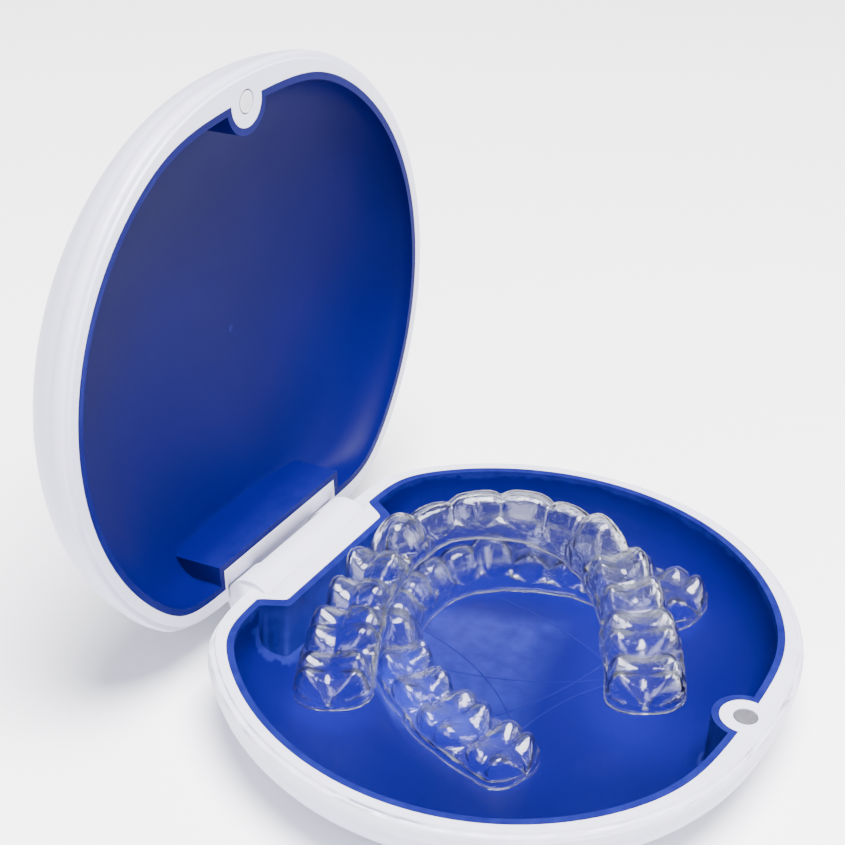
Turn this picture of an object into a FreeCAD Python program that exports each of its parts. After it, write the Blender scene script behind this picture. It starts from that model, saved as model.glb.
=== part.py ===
import FreeCAD, Part
import math
import os

# Oval magnetic case with two clear dental trays. Millimetres, +Z up.
# Origin: centre of the base's flat foot. X along the hinge, -Y is the front (magnet) side.
# The case is built closed about its rim plane, then the lid is turned open.

V = FreeCAD.Vector

# --- case plan -------------------------------------------------------------
HALF_X = 43.5          # liner edge, half length along X
HALF_Y = 40.0          # liner edge, half width along Y
EGG = -0.032           # the front half is slightly broader than the hinge half
PLAN_POINTS = 72       # points round each plan curve
CORNER = 28            # sharpness of the rounded plan corners
LINER_BACK = 32.9      # straight liner edge beside the hinge
LINER_FRONT = 38.3     # flattened liner edge at the magnet
SHELL_BACK = 35.0      # straight back of the outer shells
SHELL_FRONT = 42.9     # slightly flattened front of the outer shells

# --- case heights, measured from the rim plane -------------------------------
BASE_DEPTH = 12.8      # rim plane to foot
LID_GAP = 0.3          # gap between the two rims when shut
LID_HEIGHT = 15.2      # lid's rim to its crown
FLANGE = 2.6           # rim flange, beyond the liner edge
FLANGE_DEPTH = 2.6     # height of the flange band
FOOT_RATIO = 0.67      # foot size as a share of the shell plan
LINER_FLOOR = 10.1     # rim plane to the inside floor
LINER_WALL = 1.1
LINER_PLAY = 0.05      # liner to shell, all round
LID_BOWL = 12.4        # rim to the inside crown of the lid
BOWL_POWER = 9.0       # how square the base bowl is in section

# --- hinge ---------------------------------------------------------------------
HINGE_Y = 35.1
HINGE_Z = -2.96
BARREL_R = 4.0
BARREL_X = (-14.0, 13.4)
BLOCK_X = 14.6         # half width of the white block before the barrel
BLOCK_Y = 29.1         # its inner face
LID_BOX_X = 15.2       # half width of the boxed part of the lid liner
LID_BOX_Y = 29.6       # its face, measured shut
NOTCH_R = 4.35         # clearance round the barrel, in the lid
KNUCKLE_R = 2.6
KNUCKLE_X = 8.0
SLOT_PLAY = 0.35
PIN_R = 0.75
PIN_X = (-12.0, 13.1)
OPEN_ANGLE = 97.0      # lid at rest stands open by this much

# --- magnets --------------------------------------------------------------------
BOSS_Y = -37.5
BOSS_R = 3.67
MAGNET_R = 1.57
MAGNET_HOLE_R = 1.78
MAGNET_H = 2.0

# --- trays -------------------------------------------------------------------------
# Crown sizes from the midline outwards: along the arch, across the arch, height.
UPPER_TEETH = [
    (8.4, 7.2, 9.2), (6.6, 6.8, 8.6), (7.6, 8.0, 9.3), (7.0, 9.1, 7.8),
    (6.8, 9.5, 7.2), (10.1, 11.1, 6.8), (9.5, 11.1, 6.4),
]
LOWER_TEETH = [
    (5.3, 6.6, 7.6), (5.8, 6.8, 7.6), (6.8, 7.8, 8.0), (6.9, 8.6, 6.8),
    (7.0, 9.0, 6.4), (10.6, 10.8, 6.0), (10.0, 10.8, 5.7),
]
TRAY_WALL = 0.8
TRAY_GAP = 0.35        # between the two trays, and between tray and liner
UPPER_TRAY = {
    "teeth": UPPER_TEETH, "half_width": 22.0, "depth": 42.4, "power": 2.5,
    "at": (-16.4, -5.8, -3.5), "yaw": 25.0, "front_up": 2.3, "right_up": 7.0,
}
LOWER_TRAY = {
    "teeth": LOWER_TEETH, "half_width": 22.6, "depth": 36.6, "power": 2.2,
    "at": (4.0, -17.6, -8.3), "yaw": 82.0, "front_up": -2.0, "right_up": 4.0,
}


# ------------------------------------------------------------------ plan curves
def plan_points(grow, back, front):
    points = []
    for i in range(PLAN_POINTS):
        angle = 2 * math.pi * i / PLAN_POINTS
        c = math.cos(angle)
        s = math.sin(angle)
        reach = ((c / (HALF_X + grow)) ** 2 + (s / (HALF_Y + grow)) ** 2) ** (CORNER / 2)
        if s > 0 and back:
            reach += (s / back) ** CORNER
        if s < 0 and front:
            reach += (-s / front) ** CORNER
        r = reach ** (-1.0 / CORNER)
        y = r * s
        points.append((r * c * (1 + EGG * y / HALF_Y), y))
    return points


def ring(grow, z, back=None, front=None):
    points = [V(x, y, z) for x, y in plan_points(grow, back, front)]
    curve = Part.BSplineCurve()
    curve.interpolate(Points=points, PeriodicFlag=True)
    return Part.Wire([curve.toShape()])


def bowl(levels, back, front, ruled=False):
    wires = [ring(grow, z, back, front) for grow, z in levels]
    return Part.makeLoft(wires, True, ruled)


def prism(points, z0, z1):
    wire = Part.makePolygon([V(x, y, z0) for x, y in points + points[:1]])
    return Part.Face(wire).extrude(V(0, 0, z1 - z0))


def rod(radius, x0, x1):
    return Part.makeCylinder(radius, x1 - x0, V(x0, HINGE_Y, HINGE_Z), V(1, 0, 0))


def round_post(radius, z0, z1):
    return Part.makeCylinder(radius, z1 - z0, V(0, BOSS_Y, z0))


# ------------------------------------------------------------------ outer forms
def flange(side):
    steps = [(2.3, -FLANGE_DEPTH), (FLANGE, -2.2), (FLANGE, -0.95), (2.25, -0.5),
             (1.6, -0.4), (1.45, 0.0)]
    levels = [(grow, -side * z) for grow, z in steps]
    return bowl(levels, SHELL_BACK, SHELL_FRONT, True)


def dome_levels(depth, power, least, side):
    # side -1 goes down from the rim, +1 goes up
    big_x = HALF_X + 2.3
    tall = (depth - FLANGE_DEPTH) / math.sqrt(1 - least ** power)
    levels = []
    for i in range(11):
        share = 1 - (1 - least) * (i / 10.0) ** 1.5
        rise = tall * math.sqrt(max(0.0, 1 - share ** power))
        levels.append((big_x * share - HALF_X, side * (FLANGE_DEPTH + rise)))
    return levels


def base_form():
    dome = bowl(dome_levels(BASE_DEPTH, 2.6, FOOT_RATIO, -1), SHELL_BACK, SHELL_FRONT)
    return dome.fuse(flange(-1))


def lid_form():
    dome = bowl(dome_levels(LID_HEIGHT, 3.0, 0.14, 1), SHELL_BACK, SHELL_FRONT)
    return dome.fuse(flange(1))


def base_bowl(shift, floor):
    # steep side, generous fillet and an almost flat floor
    levels = []
    for turn in (0, 12, 24, 36, 48, 60, 70, 78, 84, 87.5):
        angle = math.radians(turn)
        share = math.cos(angle) ** (2 / BOWL_POWER)
        levels.append(((HALF_X - shift) * share - HALF_X, -floor * math.sin(angle)))
    return bowl(levels, LINER_BACK - shift, LINER_FRONT - shift)


def lid_bowl(shift, crown):
    levels = []
    for i in range(9):
        share = 1 - 0.86 * (i / 8.0) ** 1.5
        rise = crown * math.sqrt(1 - share ** 3)
        levels.append(((HALF_X - shift) * share - HALF_X, rise))
    return bowl(levels, LINER_BACK - shift, LINER_FRONT - shift)


def hinge_block(grow):
    # plan of the white block: straight face with S-shaped shoulders
    right = []
    for i in range(9):
        t = i / 8.0
        blend = t * t * (3 - 2 * t)
        right.append((BLOCK_X - 1.6 + 3.2 * t + grow, BLOCK_Y - grow + (LINER_BACK - BLOCK_Y) * blend))
    left = [(-x, y) for x, y in reversed(right)]
    far = [(right[-1][0], 45.0), (left[0][0], 45.0)]
    return prism(right + far + left, -20.0, 5.0)


def lid_box(grow):
    x = LID_BOX_X + grow
    y = LID_BOX_Y - grow
    return prism([(-x, y), (x, y), (x, 45.0), (-x, 45.0)], -5.0, 20.0)


def lid_top(shape):
    shape.translate(V(0, 0, LID_GAP))
    return shape


# ------------------------------------------------------------------ hinge pieces
def sector(radius, start, end, half_x):
    # wedge about the hinge axis; angles from +Y towards +Z
    points = [V(-half_x, HINGE_Y, HINGE_Z)]
    steps = 12
    for i in range(steps + 1):
        angle = math.radians(start + (end - start) * i / steps)
        points.append(V(-half_x, HINGE_Y + radius * math.cos(angle), HINGE_Z + radius * math.sin(angle)))
    points.append(points[0])
    return Part.Face(Part.makePolygon(points)).extrude(V(2 * half_x, 0, 0))


def strap():
    # curved strap that carries the lid's knuckle round the back of the barrel
    band = rod(6.7, -KNUCKLE_X, KNUCKLE_X).cut(rod(NOTCH_R, -KNUCKLE_X - 1, KNUCKLE_X + 1))
    band = band.common(sector(12.0, 12.0, 116.0, KNUCKLE_X))
    web = Part.makeBox(2 * KNUCKLE_X, 5.6, 2.2, V(-KNUCKLE_X, HINGE_Y, HINGE_Z - 1.1))
    web.rotate(V(0, HINGE_Y, HINGE_Z), V(1, 0, 0), 28.0)
    return band.fuse([web, rod(KNUCKLE_R, -KNUCKLE_X, KNUCKLE_X)])


def barrel():
    body = rod(BARREL_R, BARREL_X[0], BARREL_X[1])
    slot_x = KNUCKLE_X + SLOT_PLAY
    slot = sector(12.0, -100.0, 60.0, slot_x).fuse(rod(KNUCKLE_R + SLOT_PLAY, -slot_x, slot_x))
    return body, slot


# ------------------------------------------------------------------ case pieces
def base_shell():
    pocket = base_bowl(0.0, LINER_FLOOR + LINER_WALL)
    pocket = pocket.cut(hinge_block(-LINER_PLAY)).cut(round_post(BOSS_R, -20, 5))
    body, slot = barrel()
    shell = base_form().fuse(body).cut(pocket).cut(slot)
    shell = shell.cut(round_post(MAGNET_HOLE_R, -MAGNET_H, 5))
    return shell.cut(rod(PIN_R + 0.03, PIN_X[0] - 0.1, 20))


def base_liner():
    outer = base_bowl(LINER_PLAY, LINER_FLOOR + LINER_WALL)
    outer = outer.cut(hinge_block(0.0)).cut(round_post(BOSS_R + LINER_PLAY, -20, 5))
    inner = base_bowl(LINER_WALL, LINER_FLOOR)
    inner = inner.cut(hinge_block(LINER_WALL)).cut(round_post(BOSS_R + LINER_WALL, -20, 5))
    return outer.cut(inner)


def lid_shell():
    pocket = lid_bowl(0.0, LID_BOWL + LINER_WALL + LINER_PLAY)
    pocket = pocket.cut(lid_box(-LINER_PLAY)).cut(round_post(BOSS_R, -5, 20))
    shell = lid_form().cut(pocket).cut(round_post(MAGNET_HOLE_R, -5, MAGNET_H))
    shell = lid_top(shell)
    shell = shell.cut(rod(NOTCH_R, BARREL_X[0] - 0.6, BARREL_X[1] + 0.6))
    return shell.fuse(strap()).cut(rod(PIN_R + 0.05, -20, 20))


def lid_liner():
    outer = lid_bowl(LINER_PLAY, LID_BOWL + LINER_WALL)
    outer = outer.cut(lid_box(0.0)).cut(round_post(BOSS_R + LINER_PLAY, -5, 20))
    inner = lid_bowl(LINER_WALL, LID_BOWL)
    inner = inner.cut(lid_box(LINER_WALL)).cut(round_post(BOSS_R + LINER_WALL, -5, 20))
    return lid_top(outer.cut(inner))


def magnet(side):
    if side < 0:
        return Part.makeCylinder(MAGNET_R, MAGNET_H - 0.05, V(0, BOSS_Y, -MAGNET_H))
    return lid_top(Part.makeCylinder(MAGNET_R, MAGNET_H - 0.05, V(0, BOSS_Y, 0.05)))


def hinge_pin():
    return rod(PIN_R, PIN_X[0], PIN_X[1])


# ------------------------------------------------------------------ trays
def arch_points(tray, count=400):
    points = []
    for i in range(count + 1):
        t = math.pi * i / count
        u = tray["depth"] * abs(math.sin(t)) ** (2 / tray["power"])
        v = tray["half_width"] * math.copysign(abs(math.cos(t)) ** (2 / tray["power"]), math.cos(t))
        points.append((u, v))
    return points


def arch_at(points, lengths, s):
    # position and direction at arc length s, measured from the left end
    i = 1
    while i < len(points) - 1 and lengths[i] < s:
        i += 1
    span = lengths[i] - lengths[i - 1]
    t = (s - lengths[i - 1]) / span
    u = points[i - 1][0] + t * (points[i][0] - points[i - 1][0])
    v = points[i - 1][1] + t * (points[i][1] - points[i - 1][1])
    lo = max(0, i - 12)
    hi = min(len(points) - 1, i + 11)
    du = points[hi][0] - points[lo][0]
    dv = points[hi][1] - points[lo][1]
    size = math.hypot(du, dv)
    return u, v, du / size, dv / size


def tray_stations(tray):
    # every section: arc length, half width, height
    points = arch_points(tray)
    lengths = [0.0]
    for a, b in zip(points, points[1:]):
        lengths.append(lengths[-1] + math.hypot(b[0] - a[0], b[1] - a[1]))
    teeth = list(reversed(tray["teeth"])) + list(tray["teeth"])
    total = sum(t[0] for t in teeth)
    scale = (lengths[-1] - 0.4) / total
    stations = []
    s = 0.2
    for index, (along, across, tall) in enumerate(teeth):
        along *= scale
        for step, (narrow, low) in enumerate(((0.80, 0.74), (0.97, 0.97), (1.0, 1.0), (0.97, 0.97))):
            near = teeth[index - 1] if step == 0 and index else (along, across, tall)
            width = 0.5 * min(across, near[1]) * narrow
            height = min(tall, near[2]) * low
            stations.append((s + along * (0.0, 0.24, 0.5, 0.76)[step], width, height))
        s += along
    stations.append((s, 0.5 * teeth[-1][1] * 0.80, teeth[-1][2] * 0.74))
    return points, lengths, stations


def tray_placement(tray):
    tilt = FreeCAD.Rotation(V(1, 0, 0), -tray["right_up"])
    tilt = FreeCAD.Rotation(V(0, 1, 0), -tray["front_up"]) * tilt
    turn = FreeCAD.Rotation(V(0, 0, 1), tray["yaw"])
    return FreeCAD.Placement(V(*tray["at"]), turn * tilt)


def floor_height(x, y):
    # height of the bowl's inside surface under a point
    inset = LINER_WALL
    low = 0.15
    high = 1.0
    for _ in range(24):
        share = (low + high) / 2
        grow = (HALF_X - inset) * share - HALF_X
        inside = (x / (HALF_X + grow)) ** 2 + (y / (HALF_Y + grow)) ** 2 < 1
        low, high = (low, share) if inside else (share, high)
    return -LINER_FLOOR * math.sqrt(max(0.0, 1 - high ** BOWL_POWER))


def tray_tops(tray):
    # crown line of a tray: place, half width
    points, lengths, stations = tray_stations(tray)
    place = tray_placement(tray)
    tops = []
    for s, half, tall in stations:
        u, v, du, dv = arch_at(points, lengths, s)
        tops.append((place.multVec(V(u, v, tall)), half))
    return tops


def gum_line(tray, side, below):
    # how far each station's gum edge is trimmed so that it clears what lies beneath
    points, lengths, stations = tray_stations(tray)
    place = tray_placement(tray)
    trims = []
    for s, half, tall in stations:
        u, v, du, dv = arch_at(points, lengths, s)
        spot = place.multVec(V(u - dv * half * side, v + du * half * side, 0))
        need = floor_height(spot.x, spot.y)
        for top, reach in below:
            if math.hypot(spot.x - top.x, spot.y - top.y) < reach + 1.2:
                need = max(need, top.z)
        trims.append(max(0.0, need + TRAY_GAP - spot.z))
    wide = [max(trims[max(0, i - 1):i + 2]) for i in range(len(trims))]
    return [max(trims[i], sum(wide[max(0, i - 1):i + 2]) / len(wide[max(0, i - 1):i + 2]))
            for i in range(len(wide))]


def tray_rows(tray, inset, gums):
    # rows of points over the arch, from gum line to gum line
    points, lengths, stations = tray_stations(tray)
    place = tray_placement(tray)
    rows = []
    last = len(stations) - 1
    for index, (s, half, tall) in enumerate(stations):
        s += inset if index == 0 else (-inset if index == last else 0.0)
        u, v, du, dv = arch_at(points, lengths, s)
        row = []
        for i in range(15):
            t = math.pi * i / 14
            across = (half - inset) * math.copysign(abs(math.cos(t)) ** 0.7, math.cos(t))
            low = gums[0 if i < 7 else 1][index]
            up = low + (tall - inset - low) * abs(math.sin(t)) ** 0.66
            row.append(place.multVec(V(u - dv * across, v + du * across, up)))
        rows.append(row)
    return rows


def crown_faces(rows):
    crown = Part.BSplineSurface()
    crown.interpolate(rows)
    u0, u1, v0, v1 = crown.bounds()
    ends = [crown.uIso(u0).toShape(), crown.uIso(u1).toShape()]
    gums = [crown.vIso(v0).toShape(), crown.vIso(v1).toShape()]
    feet = [Part.makeLine(rows[i][0], rows[i][-1]) for i in (0, -1)]
    caps = [Part.Face(Part.Wire([edge, foot])) for edge, foot in zip(ends, feet)]
    return [crown.toShape()] + caps, gums + feet


def make_tray(tray, below):
    gums = (gum_line(tray, 1, below), gum_line(tray, -1, below))
    outer_faces, outer_edges = crown_faces(tray_rows(tray, 0.0, gums))
    inner_faces, inner_edges = crown_faces(tray_rows(tray, TRAY_WALL, gums))
    rims = [Part.makeRuledSurface(a, b) for a, b in zip(outer_edges, inner_edges)]
    faces = outer_faces + inner_faces
    for rim in rims:
        faces += rim.Faces
    shell = Part.Shell(faces)
    shell.sewShape()
    solid = Part.Solid(shell)
    if solid.Volume < 0:
        solid.reverse()
    return solid


def trays():
    lower = make_tray(LOWER_TRAY, [])
    upper = make_tray(UPPER_TRAY, tray_tops(LOWER_TRAY))
    return upper, lower


# ------------------------------------------------------------------ assembly
def main_solid(shape):
    return max(shape.Solids, key=lambda solid: solid.Volume)


def open_lid(shape):
    shape = shape.copy()
    shape.rotate(V(0, HINGE_Y, HINGE_Z), V(1, 0, 0), -OPEN_ANGLE)
    return shape


def build():
    upper, lower = trays()
    nodes = {
        "base_shell": base_shell(),
        "base_liner": base_liner(),
        "base_magnet": magnet(-1),
        "hinge_pin": hinge_pin(),
        "lid_shell": open_lid(lid_shell()),
        "lid_liner": open_lid(lid_liner()),
        "lid_magnet": open_lid(magnet(1)),
        "lower_tray": lower,
        "upper_tray": upper,
    }
    os.makedirs("parts", exist_ok=True)
    for name, shape in nodes.items():
        solid = main_solid(shape)
        solid.translate(V(0, 0, BASE_DEPTH))
        solid.exportStep("parts/" + name + ".step")
        print(name, "solids", len(shape.Solids), "valid", solid.isValid(), "volume", round(solid.Volume, 1))


build()
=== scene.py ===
import math

import bmesh
import bpy
from mathutils import Matrix, Vector


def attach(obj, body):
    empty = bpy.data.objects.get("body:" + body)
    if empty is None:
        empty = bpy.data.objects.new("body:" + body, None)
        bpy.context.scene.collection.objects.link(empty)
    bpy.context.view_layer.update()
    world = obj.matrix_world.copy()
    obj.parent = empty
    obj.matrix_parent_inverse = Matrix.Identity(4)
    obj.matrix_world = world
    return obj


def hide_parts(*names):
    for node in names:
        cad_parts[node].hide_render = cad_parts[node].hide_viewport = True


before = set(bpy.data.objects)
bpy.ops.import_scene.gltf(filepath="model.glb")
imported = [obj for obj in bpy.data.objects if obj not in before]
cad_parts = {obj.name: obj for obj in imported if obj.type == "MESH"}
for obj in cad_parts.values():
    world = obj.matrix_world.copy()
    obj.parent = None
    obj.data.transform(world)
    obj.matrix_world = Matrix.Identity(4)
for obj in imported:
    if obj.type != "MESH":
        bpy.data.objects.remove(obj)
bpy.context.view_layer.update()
print("frame loaded:", sorted(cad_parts))

mm = 0.001
touching = 0.0001 * mm                        # points nearer than this are merged

# Sizes of the case that the trays and the added marks lie on, as it is built shut.
case = {
    "halfX": 43.5 * mm, "halfY": 40.0 * mm,   # liner edge
    "linerFloor": 10.1 * mm, "linerWall": 1.1 * mm,
    "bowlPower": 9.0,                         # how square the base bowl is in section
    "rimHeight": 12.8 * mm,                   # rim plane above the foot
    "lidGap": 0.3 * mm, "lidBowl": 12.39 * mm,
}


def newObject(name, bm, material, body, smoothAngle=35):
    mesh = bpy.data.meshes.new(name)
    bm.to_mesh(mesh)
    bm.free()
    obj = bpy.data.objects.new(name, mesh)
    bpy.context.scene.collection.objects.link(obj)
    mesh.materials.append(material)
    mesh.shade_smooth()
    mesh.set_sharp_from_angle(angle=math.radians(smoothAngle))
    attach(obj, body)
    return obj


def finishNormals(bm):
    bmesh.ops.remove_doubles(bm, verts=bm.verts, dist=touching)
    bmesh.ops.recalc_face_normals(bm, faces=bm.faces)


def link(tree, a, b):
    tree.links.new(a, b)


def addNode(tree, kind, **values):
    node = tree.nodes.new(kind)
    for key, value in values.items():
        setattr(node, key, value)
    return node


def setInput(tree, socket, value):
    # a socket takes a number, a colour or another node's output
    if isinstance(value, (int, float)):
        socket.default_value = value
    elif isinstance(value, tuple):
        socket.default_value = (*value, 1)
    else:
        link(tree, value, socket)


def mathNode(tree, operation, *values, clamp=False):
    node = addNode(tree, "ShaderNodeMath", operation=operation, use_clamp=clamp)
    for socket, value in zip(node.inputs, values):
        setInput(tree, socket, value)
    return node.outputs[0]


def noiseOn(tree, coords, scale, detail=2):
    node = addNode(tree, "ShaderNodeTexNoise")
    node.inputs["Detail"].default_value = detail
    setInput(tree, node.inputs["Scale"], scale)
    link(tree, coords, node.inputs["Vector"])
    return node.outputs["Fac"]


def newGroup(name, inputs, outputs):
    group = bpy.data.node_groups.new(name, "ShaderNodeTree")
    for label, kind, value in inputs:
        socket = group.interface.new_socket(name=label, in_out="INPUT", socket_type=kind)
        socket.default_value = value
    for label, kind in outputs:
        group.interface.new_socket(name=label, in_out="OUTPUT", socket_type=kind)
    return group, group.nodes.new("NodeGroupInput"), group.nodes.new("NodeGroupOutput")


grainPattern = {
    "grainDetail": 3, "driftDetail": 2, "mottleDetail": 5,
    "mottleOverDrift": 7.0,                   # how much finer the mottle is than the drift
}


def makeMouldGrain():
    # fine spark-eroded texture of a moulding, with a slow drift on top
    group, given, out = newGroup("mouldGrain", [
        ("Grain Size", "NodeSocketFloat", 3200.0), ("Drift Size", "NodeSocketFloat", 26.0),
    ], [("Grain", "NodeSocketFloat"), ("Drift", "NodeSocketFloat"), ("Mottle", "NodeSocketFloat")])
    coords = addNode(group, "ShaderNodeTexCoord").outputs["Object"]
    driftSize = given.outputs["Drift Size"]
    mottleSize = mathNode(group, "MULTIPLY", driftSize, grainPattern["mottleOverDrift"])
    grain = noiseOn(group, coords, given.outputs["Grain Size"], grainPattern["grainDetail"])
    link(group, grain, out.inputs["Grain"])
    link(group, noiseOn(group, coords, driftSize, grainPattern["driftDetail"]), out.inputs["Drift"])
    link(group, noiseOn(group, coords, mottleSize, grainPattern["mottleDetail"]), out.inputs["Mottle"])
    return group


hairlinePattern = {
    "sets": ((0.5, 14.0), (-0.9, 18.0)),      # turn of each set of lines (radians) and its stretch
    "tilt": (0.2, 0.3), "thinness": 70.0,
    "patchScale": 45.0, "patchLevel": 0.52, "patchEdge": 6.0,
}


def makeHairlines():
    # sparse hairline scuffs: thin bands of stretched noise, broken up by a second noise
    group, given, out = newGroup("hairlines", [
        ("Size", "NodeSocketFloat", 120.0), ("Amount", "NodeSocketFloat", 0.5),
    ], [("Lines", "NodeSocketFloat")])
    coords = addNode(group, "ShaderNodeTexCoord").outputs["Object"]
    tiltX, tiltY = hairlinePattern["tilt"]
    lineSets = []
    for turn, stretch in hairlinePattern["sets"]:
        place = addNode(group, "ShaderNodeMapping")
        place.inputs["Rotation"].default_value = (tiltX * turn, tiltY, turn)
        place.inputs["Scale"].default_value = (1.0, stretch, stretch)
        link(group, coords, place.inputs["Vector"])
        noise = noiseOn(group, place.outputs[0], given.outputs["Size"], 1)
        away = mathNode(group, "ABSOLUTE", mathNode(group, "SUBTRACT", noise, 0.5))
        away = mathNode(group, "MULTIPLY", away, hairlinePattern["thinness"])
        lineSets.append(mathNode(group, "SUBTRACT", 1.0, away, clamp=True))
    total = mathNode(group, "MAXIMUM", *lineSets)
    patches = noiseOn(group, coords, hairlinePattern["patchScale"])
    where = mathNode(group, "SUBTRACT", patches, hairlinePattern["patchLevel"])
    where = mathNode(group, "MULTIPLY", where, hairlinePattern["patchEdge"], clamp=True)
    lines = mathNode(group, "MULTIPLY", mathNode(group, "MULTIPLY", total, where), given.outputs["Amount"])
    link(group, lines, out.inputs["Lines"])
    return group


wearPattern = {"edgeLevel": 0.515, "breakScale": 420.0, "breakDetail": 4}


def makeEdgeWear():
    # rubbed edges, from the curvature of the surface, broken up with noise
    group, given, out = newGroup("edgeWear", [
        ("Sharpness", "NodeSocketFloat", 8.0), ("Amount", "NodeSocketFloat", 0.6),
    ], [("Wear", "NodeSocketFloat")])
    point = addNode(group, "ShaderNodeNewGeometry").outputs["Pointiness"]
    coords = addNode(group, "ShaderNodeTexCoord").outputs["Object"]
    noise = noiseOn(group, coords, wearPattern["breakScale"], wearPattern["breakDetail"])
    convex = mathNode(group, "SUBTRACT", point, wearPattern["edgeLevel"])
    edge = mathNode(group, "MULTIPLY", convex, given.outputs["Sharpness"], clamp=True)
    patchy = mathNode(group, "MULTIPLY", noise, given.outputs["Amount"])
    link(group, mathNode(group, "MULTIPLY", edge, patchy), out.inputs["Wear"])
    return group


mouldGrain = makeMouldGrain()
hairlines = makeHairlines()
edgeWear = makeEdgeWear()
print("shader groups made")


def newMaterial(name):
    material = bpy.data.materials.new(name)
    material.use_nodes = True
    tree = material.node_tree
    return material, tree, tree.nodes["Principled BSDF"]


def useGroup(tree, group, **values):
    node = addNode(tree, "ShaderNodeGroup", node_tree=group)
    for key, value in values.items():
        node.inputs[key].default_value = value
    return node


rampEnds = (0.3, 0.7)                         # where a noise reaches its two colours


def ramp(tree, factor, low, high):
    node = addNode(tree, "ShaderNodeValToRGB")
    for element, place, colour in zip(node.color_ramp.elements, rampEnds, (low, high)):
        element.position = place
        element.color = (*colour, 1)
    link(tree, factor, node.inputs["Fac"])
    return node.outputs["Color"]


def mixColour(tree, factor, a, b):
    node = addNode(tree, "ShaderNodeMix", data_type="RGBA", blend_type="MIX")
    for place, value in ((0, factor), (6, a), (7, b)):  # 6 and 7 are the two colour sockets
        setInput(tree, node.inputs[place], value)
    return node.outputs[2]


def bump(tree, height, finish):
    node = addNode(tree, "ShaderNodeBump")
    node.inputs["Strength"].default_value = finish["relief"]
    node.inputs["Distance"].default_value = finish["reliefDepth"]
    link(tree, height, node.inputs["Height"])
    return node.outputs["Normal"]


def surfacePatterns(tree, finish):
    sizes = {"Grain Size": finish["grainSize"], "Drift Size": finish["driftSize"]}
    grain = useGroup(tree, mouldGrain, **sizes)
    lines = useGroup(tree, hairlines, **{"Size": finish["lineSize"], "Amount": finish["lineAmount"]})
    return grain.outputs, lines.outputs["Lines"]


def mottledRoughness(tree, finish, grain):
    # the finish's own roughness, swung up and down by the mottle
    swing = mathNode(tree, "MULTIPLY", grain["Mottle"], finish["mottle"])
    return mathNode(tree, "ADD", swing, finish["roughness"] - finish["mottle"] / 2)


def scuffedRoughness(tree, finish, grain, lines):
    scuffs = mathNode(tree, "MULTIPLY", lines, finish["scuffs"])
    return mathNode(tree, "ADD", mottledRoughness(tree, finish, grain), scuffs, clamp=True)


def makePlastic(name, finish):
    # moulded plastic: drifting colour, rubbed edges, eroded grain and scuffs
    material, tree, shader = newMaterial(name)
    grain, lines = surfacePatterns(tree, finish)
    wear = useGroup(tree, edgeWear, **{"Sharpness": finish["wearSharpness"], "Amount": finish["wearAmount"]})
    body = ramp(tree, grain["Drift"], finish["deep"], finish["pale"])
    link(tree, mixColour(tree, wear.outputs["Wear"], body, finish["worn"]), shader.inputs["Base Color"])
    link(tree, scuffedRoughness(tree, finish, grain, lines), shader.inputs["Roughness"])
    cuts = mathNode(tree, "MULTIPLY", lines, finish["lineDepth"])
    height = mathNode(tree, "SUBTRACT", grain["Grain"], cuts)
    link(tree, bump(tree, height, finish), shader.inputs["Normal"])
    shader.inputs["IOR"].default_value = finish["ior"]
    return material, shader


# deep, pale and worn are tinted lavender: painted bluish shade, standing in for blue light reflected onto
# plastic that is white
whitePlastic = {
    "deep": (0.47, 0.465, 0.60), "pale": (0.54, 0.535, 0.66), "worn": (0.68, 0.68, 0.76),
    "roughness": 0.34, "mottle": 0.12, "scuffs": 0.12,
    "grainSize": 3600.0, "driftSize": 22.0, "lineSize": 90.0, "lineAmount": 0.5, "lineDepth": 0.6,
    "wearSharpness": 9.0, "wearAmount": 0.7, "relief": 0.10, "reliefDepth": 0.04 * mm,
    "ior": 1.48, "scatter": 0.08, "scatterRadius": (1.2 * mm, 1.2 * mm, 1.4 * mm),
}


def makeWhitePlastic():
    material, shader = makePlastic("whitePlastic", whitePlastic)
    shader.inputs["Subsurface Weight"].default_value = whitePlastic["scatter"]
    shader.inputs["Subsurface Radius"].default_value = whitePlastic["scatterRadius"]
    return material


bluePlastic = {
    "deep": (0.0014, 0.0010, 0.048), "pale": (0.0022, 0.0017, 0.064), "worn": (0.012, 0.015, 0.140),
    "roughness": 0.44, "mottle": 0.05, "scuffs": 0.1,
    "grainSize": 2600.0, "driftSize": 30.0, "lineSize": 70.0, "lineAmount": 0.8, "lineDepth": 0.5,
    "wearSharpness": 10.0, "wearAmount": 1.0, "relief": 0.16, "reliefDepth": 0.05 * mm,
    "ior": 1.49, "specular": 0.04,
}


def makeBluePlastic():
    material, shader = makePlastic("bluePlastic", bluePlastic)
    shader.inputs["Specular IOR Level"].default_value = bluePlastic["specular"]
    return material


magnetNickel = {
    "deep": (0.55, 0.54, 0.59), "pale": (0.70, 0.69, 0.74), "roughness": 0.32, "mottle": 0.2,
    "grainSize": 5200.0, "driftSize": 300.0, "lineSize": 420.0, "lineAmount": 1.0,
    "relief": 0.15, "reliefDepth": 0.03 * mm,
}
pinSteel = {
    "deep": (0.45, 0.45, 0.47), "pale": (0.62, 0.62, 0.64), "roughness": 0.35, "mottle": 0.2,
    "grainSize": 6000.0, "driftSize": 260.0, "lineSize": 700.0, "lineAmount": 1.0,
    "relief": 0.2, "reliefDepth": 0.03 * mm,
}


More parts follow.
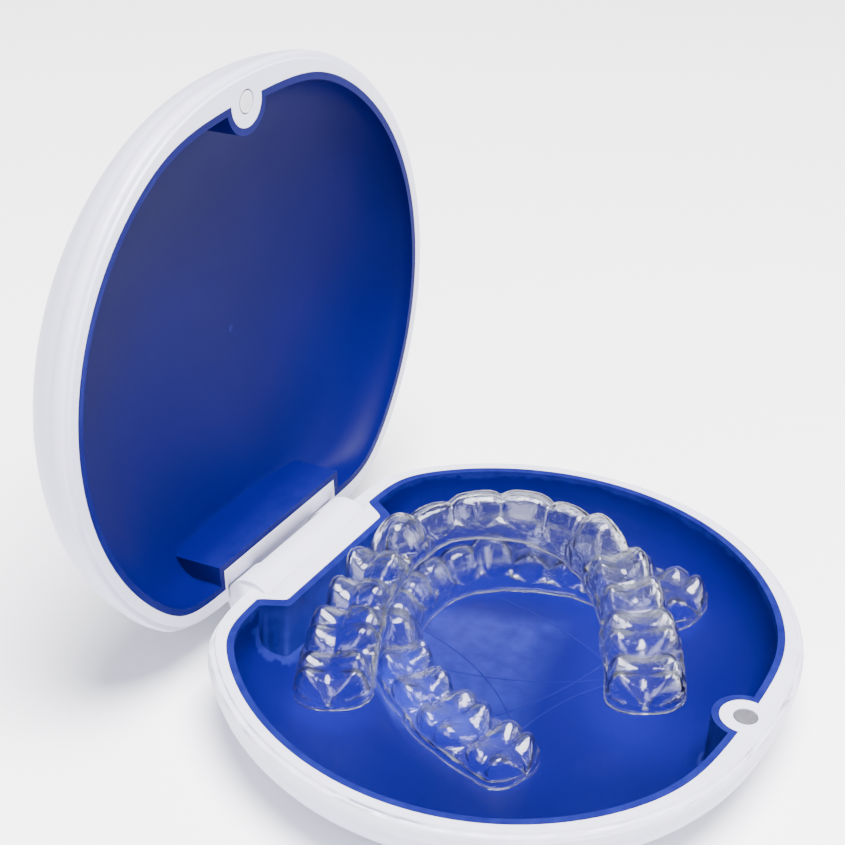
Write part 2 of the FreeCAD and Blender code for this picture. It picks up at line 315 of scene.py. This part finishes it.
def makeMetal(name, finish, plated):
    # a plated face has a fine grain under its scratches, a drawn pin only the scratches
    material, tree, shader = newMaterial(name)
    grain, lines = surfacePatterns(tree, finish)
    link(tree, ramp(tree, grain["Drift"], finish["deep"], finish["pale"]), shader.inputs["Base Color"])
    shader.inputs["Metallic"].default_value = 1.0
    link(tree, mottledRoughness(tree, finish, grain), shader.inputs["Roughness"])
    height = mathNode(tree, "SUBTRACT", grain["Grain"], lines) if plated else lines
    link(tree, bump(tree, height, finish), shader.inputs["Normal"])
    return material


clearSheet = {
    "tint": (0.97, 0.98, 1.0), "hazy": (0.90, 0.93, 0.99), "shadow": (0.80, 0.84, 0.95),
    "roughness": 0.045, "mottle": 0.05, "scuffs": 0.25,
    "grainSize": 1500.0, "driftSize": 170.0, "lineSize": 160.0, "lineAmount": 1.0,
    "ripple": 0.35, "relief": 0.5, "reliefDepth": 0.6 * mm, "ior": 1.5,
}


def makeClearSheet():
    # thin thermoformed sheet: clear, glossy, a little wavy from forming, with handling scuffs
    material, tree, shader = newMaterial("clearSheet")
    grain, lines = surfacePatterns(tree, clearSheet)
    colour = ramp(tree, grain["Mottle"], clearSheet["hazy"], clearSheet["tint"])
    link(tree, colour, shader.inputs["Base Color"])
    link(tree, scuffedRoughness(tree, clearSheet, grain, lines), shader.inputs["Roughness"])
    ripple = mathNode(tree, "MULTIPLY", grain["Mottle"], clearSheet["ripple"])
    height = mathNode(tree, "ADD", grain["Drift"], ripple)
    link(tree, bump(tree, height, clearSheet), shader.inputs["Normal"])
    shader.inputs["Transmission Weight"].default_value = 1.0
    shader.inputs["IOR"].default_value = clearSheet["ior"]
    # light passes straight through to what lies under the sheet
    through = addNode(tree, "ShaderNodeBsdfTransparent")
    through.inputs["Color"].default_value = (*clearSheet["shadow"], 1)
    path = addNode(tree, "ShaderNodeLightPath")
    mix = addNode(tree, "ShaderNodeMixShader")
    link(tree, path.outputs["Is Shadow Ray"], mix.inputs[0])
    link(tree, shader.outputs[0], mix.inputs[1])
    link(tree, through.outputs[0], mix.inputs[2])
    link(tree, mix.outputs[0], tree.nodes["Material Output"].inputs["Surface"])
    return material


white = makeWhitePlastic()
blue = makeBluePlastic()
nickel = makeMetal("magnetNickel", magnetNickel, plated=True)
steel = makeMetal("pinSteel", pinSteel, plated=False)
clear = makeClearSheet()
print("materials made")


def dress(node, material):
    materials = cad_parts[node].data.materials
    materials.clear()
    materials.append(material)


# The case halves and their liners are the frame's own solids, welded, with their edges rounded.
moulding = {
    "rounding": {
        "base_shell": 0.22 * mm, "lid_shell": 0.22 * mm, "base_liner": 0.16 * mm, "lid_liner": 0.16 * mm,
    },
    "weld": 0.002 * mm, "sliver": 0.001 * mm,
    "flat": 0.4, "smooth": 34, "sharp": 38,   # angles in degrees
    "segments": 2,
}


def weldedCopy(node, name, material, body):
    bm = bmesh.new()
    bm.from_mesh(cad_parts[node].data)
    bmesh.ops.remove_doubles(bm, verts=bm.verts, dist=moulding["weld"])
    bmesh.ops.dissolve_degenerate(bm, dist=moulding["sliver"], edges=bm.edges)
    flat = math.radians(moulding["flat"])
    bmesh.ops.dissolve_limit(bm, angle_limit=flat, verts=bm.verts, edges=bm.edges)
    obj = newObject(name, bm, material, body, smoothAngle=moulding["smooth"])
    rounding = obj.modifiers.new("rounding", "BEVEL")
    rounding.width = moulding["rounding"][node]
    rounding.segments = moulding["segments"]
    rounding.limit_method = "ANGLE"
    rounding.angle_limit = math.radians(moulding["sharp"])
    rounding.profile = 0.5
    rounding.harden_normals = True
    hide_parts(node)
    return obj


for nodeName, pieceName, material, body, slot in (
    ("base_shell", "base_case_moulding", white, "base", "white_shell"),
    ("lid_shell", "lid_case_moulding", white, "lid", "white_shell"),
    ("base_liner", "base_liner_moulding", blue, "base", "blue_liner"),
    ("lid_liner", "lid_liner_moulding", blue, "lid", "blue_liner"),
):
    piece = weldedCopy(nodeName, pieceName, material, body)
    print(pieceName, "faces", len(piece.data.polygons))

floorLines = {
    "height": case["rimHeight"] - case["linerFloor"] + 0.01 * mm,
    "thick": 0.10 * mm, "flatness": 0.45, "around": 8, "steps": 28,
    # centre x, centre y, radius (mm), from, to (degrees)
    "arcs": [
        (-30, 20, 34, -52, 4), (-34, 12, 52, -42, 8), (22, 46, 58, -128, -84),
        (40, 18, 44, -178, -128), (-12, -44, 36, 30, 84), (34, -42, 34, 94, 146),
    ],
}


def wholeIsland(verts):
    # the given points and all that hang together with them
    island = set(verts)
    reach = list(verts)
    while reach:
        for edge in reach.pop().link_edges:
            for vert in edge.verts:
                if vert not in island:
                    island.add(vert)
                    reach.append(vert)
    return list(island)


def makeFloorLines():
    # thin curved lines scored into the tool, standing up a hair from the liner floor
    bm = bmesh.new()
    for cx, cy, radius, start, end in floorLines["arcs"]:
        turn = math.radians(end - start)
        ring = bmesh.ops.create_circle(bm, segments=floorLines["around"], radius=floorLines["thick"])
        bmesh.ops.rotate(bm, verts=ring["verts"], matrix=Matrix.Rotation(math.radians(90), 3, "X"))
        bmesh.ops.scale(bm, verts=ring["verts"], vec=(1, 1, floorLines["flatness"]))
        bmesh.ops.translate(bm, verts=ring["verts"], vec=(radius * mm, 0, 0))
        bmesh.ops.rotate(bm, verts=ring["verts"], matrix=Matrix.Rotation(math.radians(start), 3, "Z"))
        edges = list({edge for vert in ring["verts"] for edge in vert.link_edges})
        first = list(ring["verts"])
        swept = bmesh.ops.spin(
            bm, geom=first + edges, axis=(0, 0, 1), cent=(0, 0, 0), angle=turn, steps=floorLines["steps"])
        last = [item for item in swept["geom_last"] if isinstance(item, bmesh.types.BMVert)]
        bmesh.ops.contextual_create(bm, geom=first)
        bmesh.ops.contextual_create(bm, geom=last)
        place = (cx * mm, cy * mm, floorLines["height"])
        bmesh.ops.translate(bm, verts=wholeIsland(first), vec=place)
    finishNormals(bm)
    return newObject("liner_score_lines", bm, blue, "base")


hinge = {"y": 35.1 * mm, "z": case["rimHeight"] - 2.96 * mm, "open": 97.0}
gateMark = {
    "x": 8.3 * mm, "y": 2.8 * mm, "z": case["rimHeight"] + case["lidGap"] + case["lidBowl"] - 0.1 * mm,
    "radius": 0.6 * mm, "around": 40, "skirt": 0.35 * mm,
    "rings": ((0.175, 0.10), (0.225, 0.0), (0.225, -0.10)),  # width as a share of the radius, fall in mm
}


def openLid():
    # turns what is placed for the shut case to where the lid stands open
    pivot = Vector((0, hinge["y"], hinge["z"]))
    swing = Matrix.Rotation(math.radians(-hinge["open"]), 4, "X")
    return Matrix.Translation(pivot) @ swing @ Matrix.Translation(-pivot)


def makeGateMark():
    # the small dimple and nub that the moulding gate leaves inside the lid
    bm = bmesh.new()
    bmesh.ops.create_circle(bm, segments=gateMark["around"], radius=gateMark["radius"], cap_ends=True)
    top = bm.faces[:]
    for share, drop in gateMark["rings"]:
        bmesh.ops.inset_region(bm, faces=top, thickness=gateMark["radius"] * share, depth=0)
        verts = list({vert for face in top for vert in face.verts})
        bmesh.ops.translate(bm, verts=verts, vec=(0, 0, -drop * mm))
    edges = [edge for edge in bm.edges if edge.is_boundary]
    skirt = bmesh.ops.extrude_edge_only(bm, edges=edges)
    rim = [item for item in skirt["geom"] if isinstance(item, bmesh.types.BMVert)]
    bmesh.ops.translate(bm, verts=rim, vec=(0, 0, gateMark["skirt"]))
    bmesh.ops.holes_fill(bm, edges=[edge for edge in bm.edges if edge.is_boundary])
    bmesh.ops.translate(bm, verts=bm.verts, vec=(gateMark["x"], gateMark["y"], gateMark["z"]))
    bmesh.ops.transform(bm, verts=bm.verts, matrix=openLid())
    finishNormals(bm)
    return newObject("lid_gate_mark", bm, blue, "lid")


makeFloorLines()
makeGateMark()
dress("hinge_pin", steel)
dress("base_magnet", nickel)
dress("lid_magnet", nickel)
print("score lines, gate mark, pin and magnets done")


trayWall = 0.8 * mm
trayGap = 0.35 * mm
# Crowns from the midline outwards: along the arch, across it, height (mm), and the kind of tooth.
upperTeeth = [
    (8.4, 7.2, 9.2, "incisor"), (6.6, 6.8, 8.6, "incisor"), (7.6, 8.0, 9.3, "canine"),
    (7.0, 9.1, 7.8, "premolar"), (6.8, 9.5, 7.2, "premolar"),
    (10.1, 11.1, 6.8, "molar"), (9.5, 11.1, 6.4, "molar"),
]
lowerTeeth = [
    (5.3, 6.6, 7.6, "incisor"), (5.8, 6.8, 7.6, "incisor"), (6.8, 7.8, 8.0, "canine"),
    (6.9, 8.6, 6.8, "premolar"), (7.0, 9.0, 6.4, "premolar"),
    (10.6, 10.8, 6.0, "molar"), (10.0, 10.8, 5.7, "molar"),
]
# Arch sizes and places in mm from the middle of the rim, angles in degrees.
upperTray = {
    "teeth": upperTeeth, "body": "upper", "halfWidth": 22.0, "depth": 42.4, "power": 2.5,
    "at": (-16.4, -5.8, -3.5), "yaw": 25.0, "frontUp": 2.3, "rightUp": 7.0,
}
lowerTray = {
    "teeth": lowerTeeth, "body": "lower", "halfWidth": 22.6, "depth": 36.6, "power": 2.2,
    "at": (4.0, -17.6, -8.3), "yaw": 82.0, "frontUp": -2.0, "rightUp": 4.0,
}


def trayPlacement(tray):
    pitch = Matrix.Rotation(math.radians(-tray["frontUp"]), 4, "Y")
    tilt = pitch @ Matrix.Rotation(math.radians(-tray["rightUp"]), 4, "X")
    turn = Matrix.Rotation(math.radians(tray["yaw"]), 4, "Z")
    x, y, z = tray["at"]
    return Matrix.Translation((x * mm, y * mm, z * mm + case["rimHeight"])) @ turn @ tilt


archReading = {
    "steps": 400,                             # lengths that the arch is cut into
    "endGap": 0.2,                            # arch left over past the last crown (mm)
    "reach": 11,                              # steps each way that its direction is read over
}


class TrayArch:
    # the arch of a tray, read at any length along it, with the crowns spread over it
    def __init__(self, tray):
        self.points = []
        for i in range(archReading["steps"] + 1):
            t = math.pi * i / archReading["steps"]
            u = tray["depth"] * abs(math.sin(t)) ** (2 / tray["power"])
            v = tray["halfWidth"] * math.copysign(abs(math.cos(t)) ** (2 / tray["power"]), math.cos(t))
            self.points.append(Vector((u, v)))
        self.lengths = [0.0]
        for a, b in zip(self.points, self.points[1:]):
            self.lengths.append(self.lengths[-1] + (b - a).length)
        teeth = list(reversed(tray["teeth"])) + list(tray["teeth"])
        scale = (self.lengths[-1] - 2 * archReading["endGap"]) / sum(tooth[0] for tooth in teeth)
        self.crowns = []
        start = archReading["endGap"]
        for along, across, tall, kind in teeth:
            self.crowns.append((start, start + along * scale, across, tall, kind))
            start += along * scale
        self.end = start

    def at(self, s):
        i = 1
        while i < len(self.points) - 1 and self.lengths[i] < s:
            i += 1
        t = (s - self.lengths[i - 1]) / (self.lengths[i] - self.lengths[i - 1])
        spot = self.points[i - 1].lerp(self.points[i], t)
        after = self.points[min(len(self.points) - 1, i + archReading["reach"])]
        before = self.points[max(0, i - 1 - archReading["reach"])]
        return spot, (after - before).normalized()

    def crownAt(self, s):
        for index, crown in enumerate(self.crowns):
            if s <= crown[1] or index == len(self.crowns) - 1:
                return index, min(1.0, max(0.0, (s - crown[0]) / (crown[1] - crown[0])))


def smoothStep(a, b, x):
    t = min(1.0, max(0.0, (x - a) / (b - a)))
    return t * t * (3 - 2 * t)


crownEdge = 0.25                              # share of a crown that eases into its neighbour


def blendNear(arch, index, share, pick):
    # a crown's value, eased into its neighbour's near the contact
    own = pick(arch.crowns[index])
    if share < crownEdge and index > 0:
        before = pick(arch.crowns[index - 1])
        return own + (before - own) * 0.5 * (1 - smoothStep(0, crownEdge, share))
    if share > 1 - crownEdge and index < len(arch.crowns) - 1:
        after = pick(arch.crowns[index + 1])
        return own + (after - own) * 0.5 * smoothStep(1 - crownEdge, 1.0, share)
    return own


# Heights and reliefs are shares of the crown's height. Powers round a form: nearer 0 is squarer.
backCrown = {
    "cusp": 0.22, "cuspRound": (0.8, 0.9), "fossa": 0.13, "fossaBand": (0.15, 0.90),
    "groove": 0.12, "groovePower": 1.5, "reliefBand": (0.3, 0.8),
    "uneven": 0.14, "unevenPhases": (2.3, 1.7, 2.9),     # how much cusps differ, by crown, side and half
    "pinch": 0.36, "pinchPower": 2.6,                    # how far crowns draw in where they meet
    "dip": 0.30, "dipPower": 3.0,
    "body": 0.82, "wallPower": 0.56, "sidePower": 0.66,
}
frontCrown = {
    "point": 0.10, "pointPower": 1.5,                    # the tip of a canine
    "lean": 0.62, "leanBand": (0.25, 1.0), "widthKept": 0.55, "widthLeaning": 0.45,
    "pinch": 0.20, "pinchPower": 2.6,
    "dip": 0.13, "dipPower": 3.4,
    "body": 0.88, "wallPower": 0.72, "sidePower": 0.75,
}
neckLine = {
    "low": 0.30, "rise": 0.30,                           # its height at mid crown, and more at a contact
    "below": 0.03, "above": 0.09,                        # how softly the crown starts
    "step": 0.42, "stepBase": 0.6, "stepSpread": 3.0,    # step in mm
}


def backCrownPoint(kind, index, share, contact, w, lift, tall):
    # bulbous crown: rounded walls, one pair of cusps or two, creases between the cusps
    lobes = 2 if kind == "molar" else 1
    alongLobe = abs(math.sin(math.pi * lobes * share))
    acrossLobe = abs(math.sin(math.pi * max(-1.0, min(1.0, w))))
    inner = 1 - smoothStep(*backCrown["fossaBand"], abs(w))
    byCrown, bySide, byHalf = backCrown["unevenPhases"]
    phase = byCrown * index + bySide * math.copysign(1, w) + byHalf * (share > 0.5)
    uneven = 1 + backCrown["uneven"] * math.sin(phase)
    roundAlong, roundAcross = backCrown["cuspRound"]
    cusp = backCrown["cusp"] * uneven * alongLobe ** roundAlong * acrossLobe ** roundAcross
    relief = cusp - backCrown["fossa"] * inner
    level = lift ** backCrown["wallPower"]
    height = tall * (1 - backCrown["dip"] * contact ** backCrown["dipPower"])
    height *= backCrown["body"] * level + relief * smoothStep(*backCrown["reliefBand"], level)
    sideways = math.copysign(abs(w) ** backCrown["sidePower"], w)
    groove = backCrown["groove"] * (1 - alongLobe) ** backCrown["groovePower"] if lobes == 2 else 0.0
    pinch = backCrown["pinch"] * contact ** backCrown["pinchPower"] + groove
    return height, sideways, pinch, level


def frontCrownPoint(kind, contact, w, lift, tall):
    # blade-like crown: face and back lean together into a biting edge
    point = frontCrown["point"] * (1 - contact ** frontCrown["pointPower"]) if kind == "canine" else 0.0
    level = lift ** frontCrown["wallPower"]
    height = tall * (1 - frontCrown["dip"] * contact ** frontCrown["dipPower"])
    height *= (frontCrown["body"] + point) * level
    lean = 1 - frontCrown["lean"] * smoothStep(*frontCrown["leanBand"], lift)
    sideways = math.copysign(abs(w) ** frontCrown["sidePower"], w)
    sideways *= frontCrown["widthKept"] + frontCrown["widthLeaning"] * lean
    pinch = frontCrown["pinch"] * contact ** frontCrown["pinchPower"]
    return height, sideways, pinch, level


def trayPoint(arch, s, t, lows):
    # place of one point of a tray's outer skin in the arch's own frame (mm)
    index, share = arch.crownAt(s)
    kind = arch.crowns[index][4]
    across = blendNear(arch, index, share, lambda crown: crown[2])
    tall = blendNear(arch, index, share, lambda crown: crown[3])
    spot, ahead = arch.at(s)
    contact = abs(2 * share - 1)                         # 0 mid crown, 1 at a contact
    w = math.cos(math.pi * t)                            # 1 at the left gum edge, -1 at the right one
    lift = math.sin(math.pi * t)
    if kind in ("premolar", "molar"):
        height, sideways, pinch, level = backCrownPoint(kind, index, share, contact, w, lift, tall)
    else:
        height, sideways, pinch, level = frontCrownPoint(kind, contact, w, lift, tall)
    # the crown stands out from the gum band above an arc-shaped neck line
    arc = neckLine["low"] + neckLine["rise"] * contact ** 2
    above = smoothStep(arc - neckLine["below"], arc + neckLine["above"], level)
    sideways *= 0.5 * across * (1 - pinch * above)
    step = neckLine["step"] * (above - neckLine["stepBase"]) * min(1.0, neckLine["stepSpread"] * abs(w))
    sideways += math.copysign(step, w)
    low = lows[0] if w > 0 else lows[1]
    height = low + max(0.0, height) * (1 - low / tall)
    return Vector((spot.x - ahead.y * sideways, spot.y + ahead.x * sideways, height))


searchSteps = 20


def linerFloor(x, y):
    # height of the base liner's inside surface under a point, from the rim plane (m)
    low, high = 0.15, 1.0
    for _ in range(searchSteps):
        share = (low + high) / 2
        grow = (case["halfX"] - case["linerWall"]) * share - case["halfX"]
        inside = (x / (case["halfX"] + grow)) ** 2 + (y / (case["halfY"] + grow)) ** 2 < 1
        low, high = (low, share) if inside else (share, high)
    return -case["linerFloor"] * math.sqrt(max(0.0, 1 - high ** case["bowlPower"]))


# The gum edge follows the floor under the tray and the crowns it lies on.
gumEdge = {"spread": 6, "crownReach": 1.2, "restShares": (0.2, 0.5, 0.8)}


def gumLows(arch, place, tops, s):
    across = arch.crowns[arch.crownAt(s)[0]][2]
    spot, ahead = arch.at(s)
    lows = []
    for side in (1, -1):
        half = 0.5 * across * side
        p = place @ (Vector((spot.x - ahead.y * half, spot.y + ahead.x * half, 0)) * mm)
        need = linerFloor(p.x, p.y) + case["rimHeight"]
        for top, reach in tops:
            if math.hypot(p.x - top.x, p.y - top.y) < reach:
                need = max(need, top.z)
        lows.append(max(0.0, need + trayGap - p.z) / mm)
    return lows


def smoothed(rows):
    # the highest nearby need, then an average that never falls below a point's own need
    spread = gumEdge["spread"]
    peaks = []
    for i in range(len(rows)):
        near = rows[max(0, i - spread):i + spread + 1]
        peaks.append([max(row[k] for row in near) for k in (0, 1)])
    soft = []
    for i in range(len(peaks)):
        near = peaks[max(0, i - spread):i + spread + 1]
        soft.append([max(rows[i][k], sum(row[k] for row in near) / len(near)) for k in (0, 1)])
    return soft


def crownTops(arch, place):
    # points on the crowns of a tray and how far each one reaches
    tops = []
    for start, end, across, tall, _ in arch.crowns:
        for share in gumEdge["restShares"]:
            spot, _ = arch.at(start + (end - start) * share)
            top = place @ (Vector((spot.x, spot.y, tall)) * mm)
            tops.append((top, (0.5 * across + gumEdge["crownReach"]) * mm))
    return tops


trayMesh = {
    "along": 380, "round": 84, "sheet": 0.72 * mm, "smooth": 75,
    "endRows": 15, "endPower": 2.2, "endWidth": 0.14, "endHeight": 0.45,  # what is left of the last row
}


def roundedEnd(point, spot, low, q):
    # draws the last rows of a far end in towards the arch and down, q from 0 to 1
    width = trayMesh["endWidth"]
    height = trayMesh["endHeight"]
    shrink = math.sqrt(max(0.0, 1 - q ** trayMesh["endPower"])) * (1 - width) + width
    drawn = Vector((spot.x, spot.y, point.z)).lerp(point, shrink)
    drawn.z = low + (point.z - low) * (height + (1 - height) * math.sqrt(max(0.0, 1 - q * q)))
    return drawn


def makeTray(name, tray, tops, node):
    arch = TrayArch(tray)
    place = trayPlacement(tray)
    count, across = trayMesh["along"], trayMesh["round"]
    inset = 0.5 * trayWall / mm
    first = archReading["endGap"]
    length = arch.end - first - 2 * inset
    stations = [first + inset + length * i / (count - 1) for i in range(count)]
    lows = smoothed([gumLows(arch, place, tops, s) for s in stations])
    bm = bmesh.new()
    bmesh.ops.create_grid(bm, x_segments=count - 1, y_segments=across - 1, size=0.5)
    rounded = trayMesh["endRows"]
    for vert in bm.verts:
        i = round((vert.co.x + 0.5) * (count - 1))
        j = round((vert.co.y + 0.5) * (across - 1))
        t = j / (across - 1)
        point = trayPoint(arch, stations[i], t, lows[i])
        fromEnd = min(i, count - 1 - i)
        if fromEnd < rounded:
            low = lows[i][0] if t < 0.5 else lows[i][1]
            point = roundedEnd(point, arch.at(stations[i])[0], low, 1 - fromEnd / rounded)
        vert.co = place @ (point * mm)
    closeEnds(bm)
    finishNormals(bm)
    obj = newObject(name, bm, clear, tray["body"], smoothAngle=trayMesh["smooth"])
    wall = obj.modifiers.new("sheet", "SOLIDIFY")
    wall.thickness = trayMesh["sheet"]
    wall.offset = -1
    wall.use_even_offset = False
    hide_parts(node)
    return obj


def closeEnds(bm):
    # the two open ends are filled from rim to rim: pairs of points across the end are joined
    bm.verts.ensure_lookup_table()
    count, across = trayMesh["along"], trayMesh["round"]
    for column in (0, count - 1):
        line = [bm.verts[column + row * count] for row in range(across)]
        for k in range(across // 2 - 1):
            bm.faces.new((line[k], line[k + 1], line[across - 2 - k], line[across - 1 - k]))


lowerPiece = makeTray("lower_aligner", lowerTray, [], "lower_tray")
lowerTops = crownTops(TrayArch(lowerTray), trayPlacement(lowerTray))
upperPiece = makeTray("upper_aligner", upperTray, lowerTops, "upper_tray")
print("trays made", len(lowerPiece.data.polygons), len(upperPiece.data.polygons))


studio = {
    "floorPale": (0.93, 0.93, 0.95), "floorDeep": (0.90, 0.90, 0.93),
    "floorSize": 1.6, "floorDrop": 0.05 * mm,
    "floorRoughness": 0.7, "floorSpecular": 0.2, "grainSize": 400.0, "driftSize": 3.0,
    "world": (0.86, 0.87, 1.0), "worldPower": 0.50,
    "aim": (0, 0.01, 0.03),                   # where the lights point (m)
    # name, place (m), size (m), power (W), colour
    "lights": [
        ("keyLight", (-0.08, -0.10, 0.75), 0.50, 34.0, (1, 1, 1)),
        ("fillLight", (-0.60, -0.05, 0.35), 0.5, 4.0, (0.93, 0.94, 1.0)),
        ("sideLight", (0.22, -0.55, 0.30), 0.3, 2.5, (1, 1, 1)),
    ],
    "lens": 90.8, "sensor": 36, "near": 0.01, "far": 10,
    "place": (-0.22879, -0.10236, 0.19653), "azimuth": -62.6, "elevation": 31.1, "roll": 4.5,
}


def makeFloor():
    bm = bmesh.new()
    bmesh.ops.create_grid(bm, x_segments=8, y_segments=8, size=studio["floorSize"])
    bmesh.ops.translate(bm, verts=bm.verts, vec=(0, 0, -studio["floorDrop"]))
    mesh = bpy.data.meshes.new("studio_floor")
    bm.to_mesh(mesh)
    bm.free()
    obj = bpy.data.objects.new("studio_floor", mesh)
    bpy.context.scene.collection.objects.link(obj)
    material, tree, shader = newMaterial("paleFloor")
    sizes = {"Grain Size": studio["grainSize"], "Drift Size": studio["driftSize"]}
    noise = useGroup(tree, mouldGrain, **sizes)
    colour = ramp(tree, noise.outputs["Drift"], studio["floorDeep"], studio["floorPale"])
    link(tree, colour, shader.inputs["Base Color"])
    shader.inputs["Roughness"].default_value = studio["floorRoughness"]
    shader.inputs["Specular IOR Level"].default_value = studio["floorSpecular"]
    mesh.materials.append(material)


def makeWorld():
    world = bpy.data.worlds.new("studioWorld")
    bpy.context.scene.world = world
    world.use_nodes = True
    background = world.node_tree.nodes["Background"]
    background.inputs["Color"].default_value = (*studio["world"], 1)
    background.inputs["Strength"].default_value = studio["worldPower"]


def softLight(name, place, size, power, colour):
    lamp = bpy.data.lights.new(name, "AREA")
    lamp.shape = "DISK"
    lamp.size = size
    lamp.energy = power
    lamp.color = colour
    obj = bpy.data.objects.new(name, lamp)
    obj.location = place
    obj.rotation_euler = (Vector(studio["aim"]) - Vector(place)).to_track_quat("-Z", "Y").to_euler()
    bpy.context.scene.collection.objects.link(obj)


def makeCamera():
    a, e, roll = (math.radians(studio[key]) for key in ("azimuth", "elevation", "roll"))
    back = Vector((math.sin(a) * math.cos(e), -math.cos(a) * math.cos(e), math.sin(e)))
    right = Vector((math.cos(a), math.sin(a), 0))
    up = back.cross(right)
    acrossAxis = math.cos(roll) * right + math.sin(roll) * up
    upAxis = -math.sin(roll) * right + math.cos(roll) * up
    turn = Matrix((acrossAxis, upAxis, back)).transposed().to_4x4()
    camera = bpy.data.cameras.new("studioCamera")
    camera.lens = studio["lens"]
    camera.sensor_width = studio["sensor"]
    camera.clip_start = studio["near"]
    camera.clip_end = studio["far"]
    obj = bpy.data.objects.new("studioCamera", camera)
    obj.matrix_world = Matrix.Translation(studio["place"]) @ turn
    bpy.context.scene.collection.objects.link(obj)
    bpy.context.scene.camera = obj


makeFloor()
makeWorld()
for light in studio["lights"]:
    softLight(*light)
makeCamera()
print("studio ready")
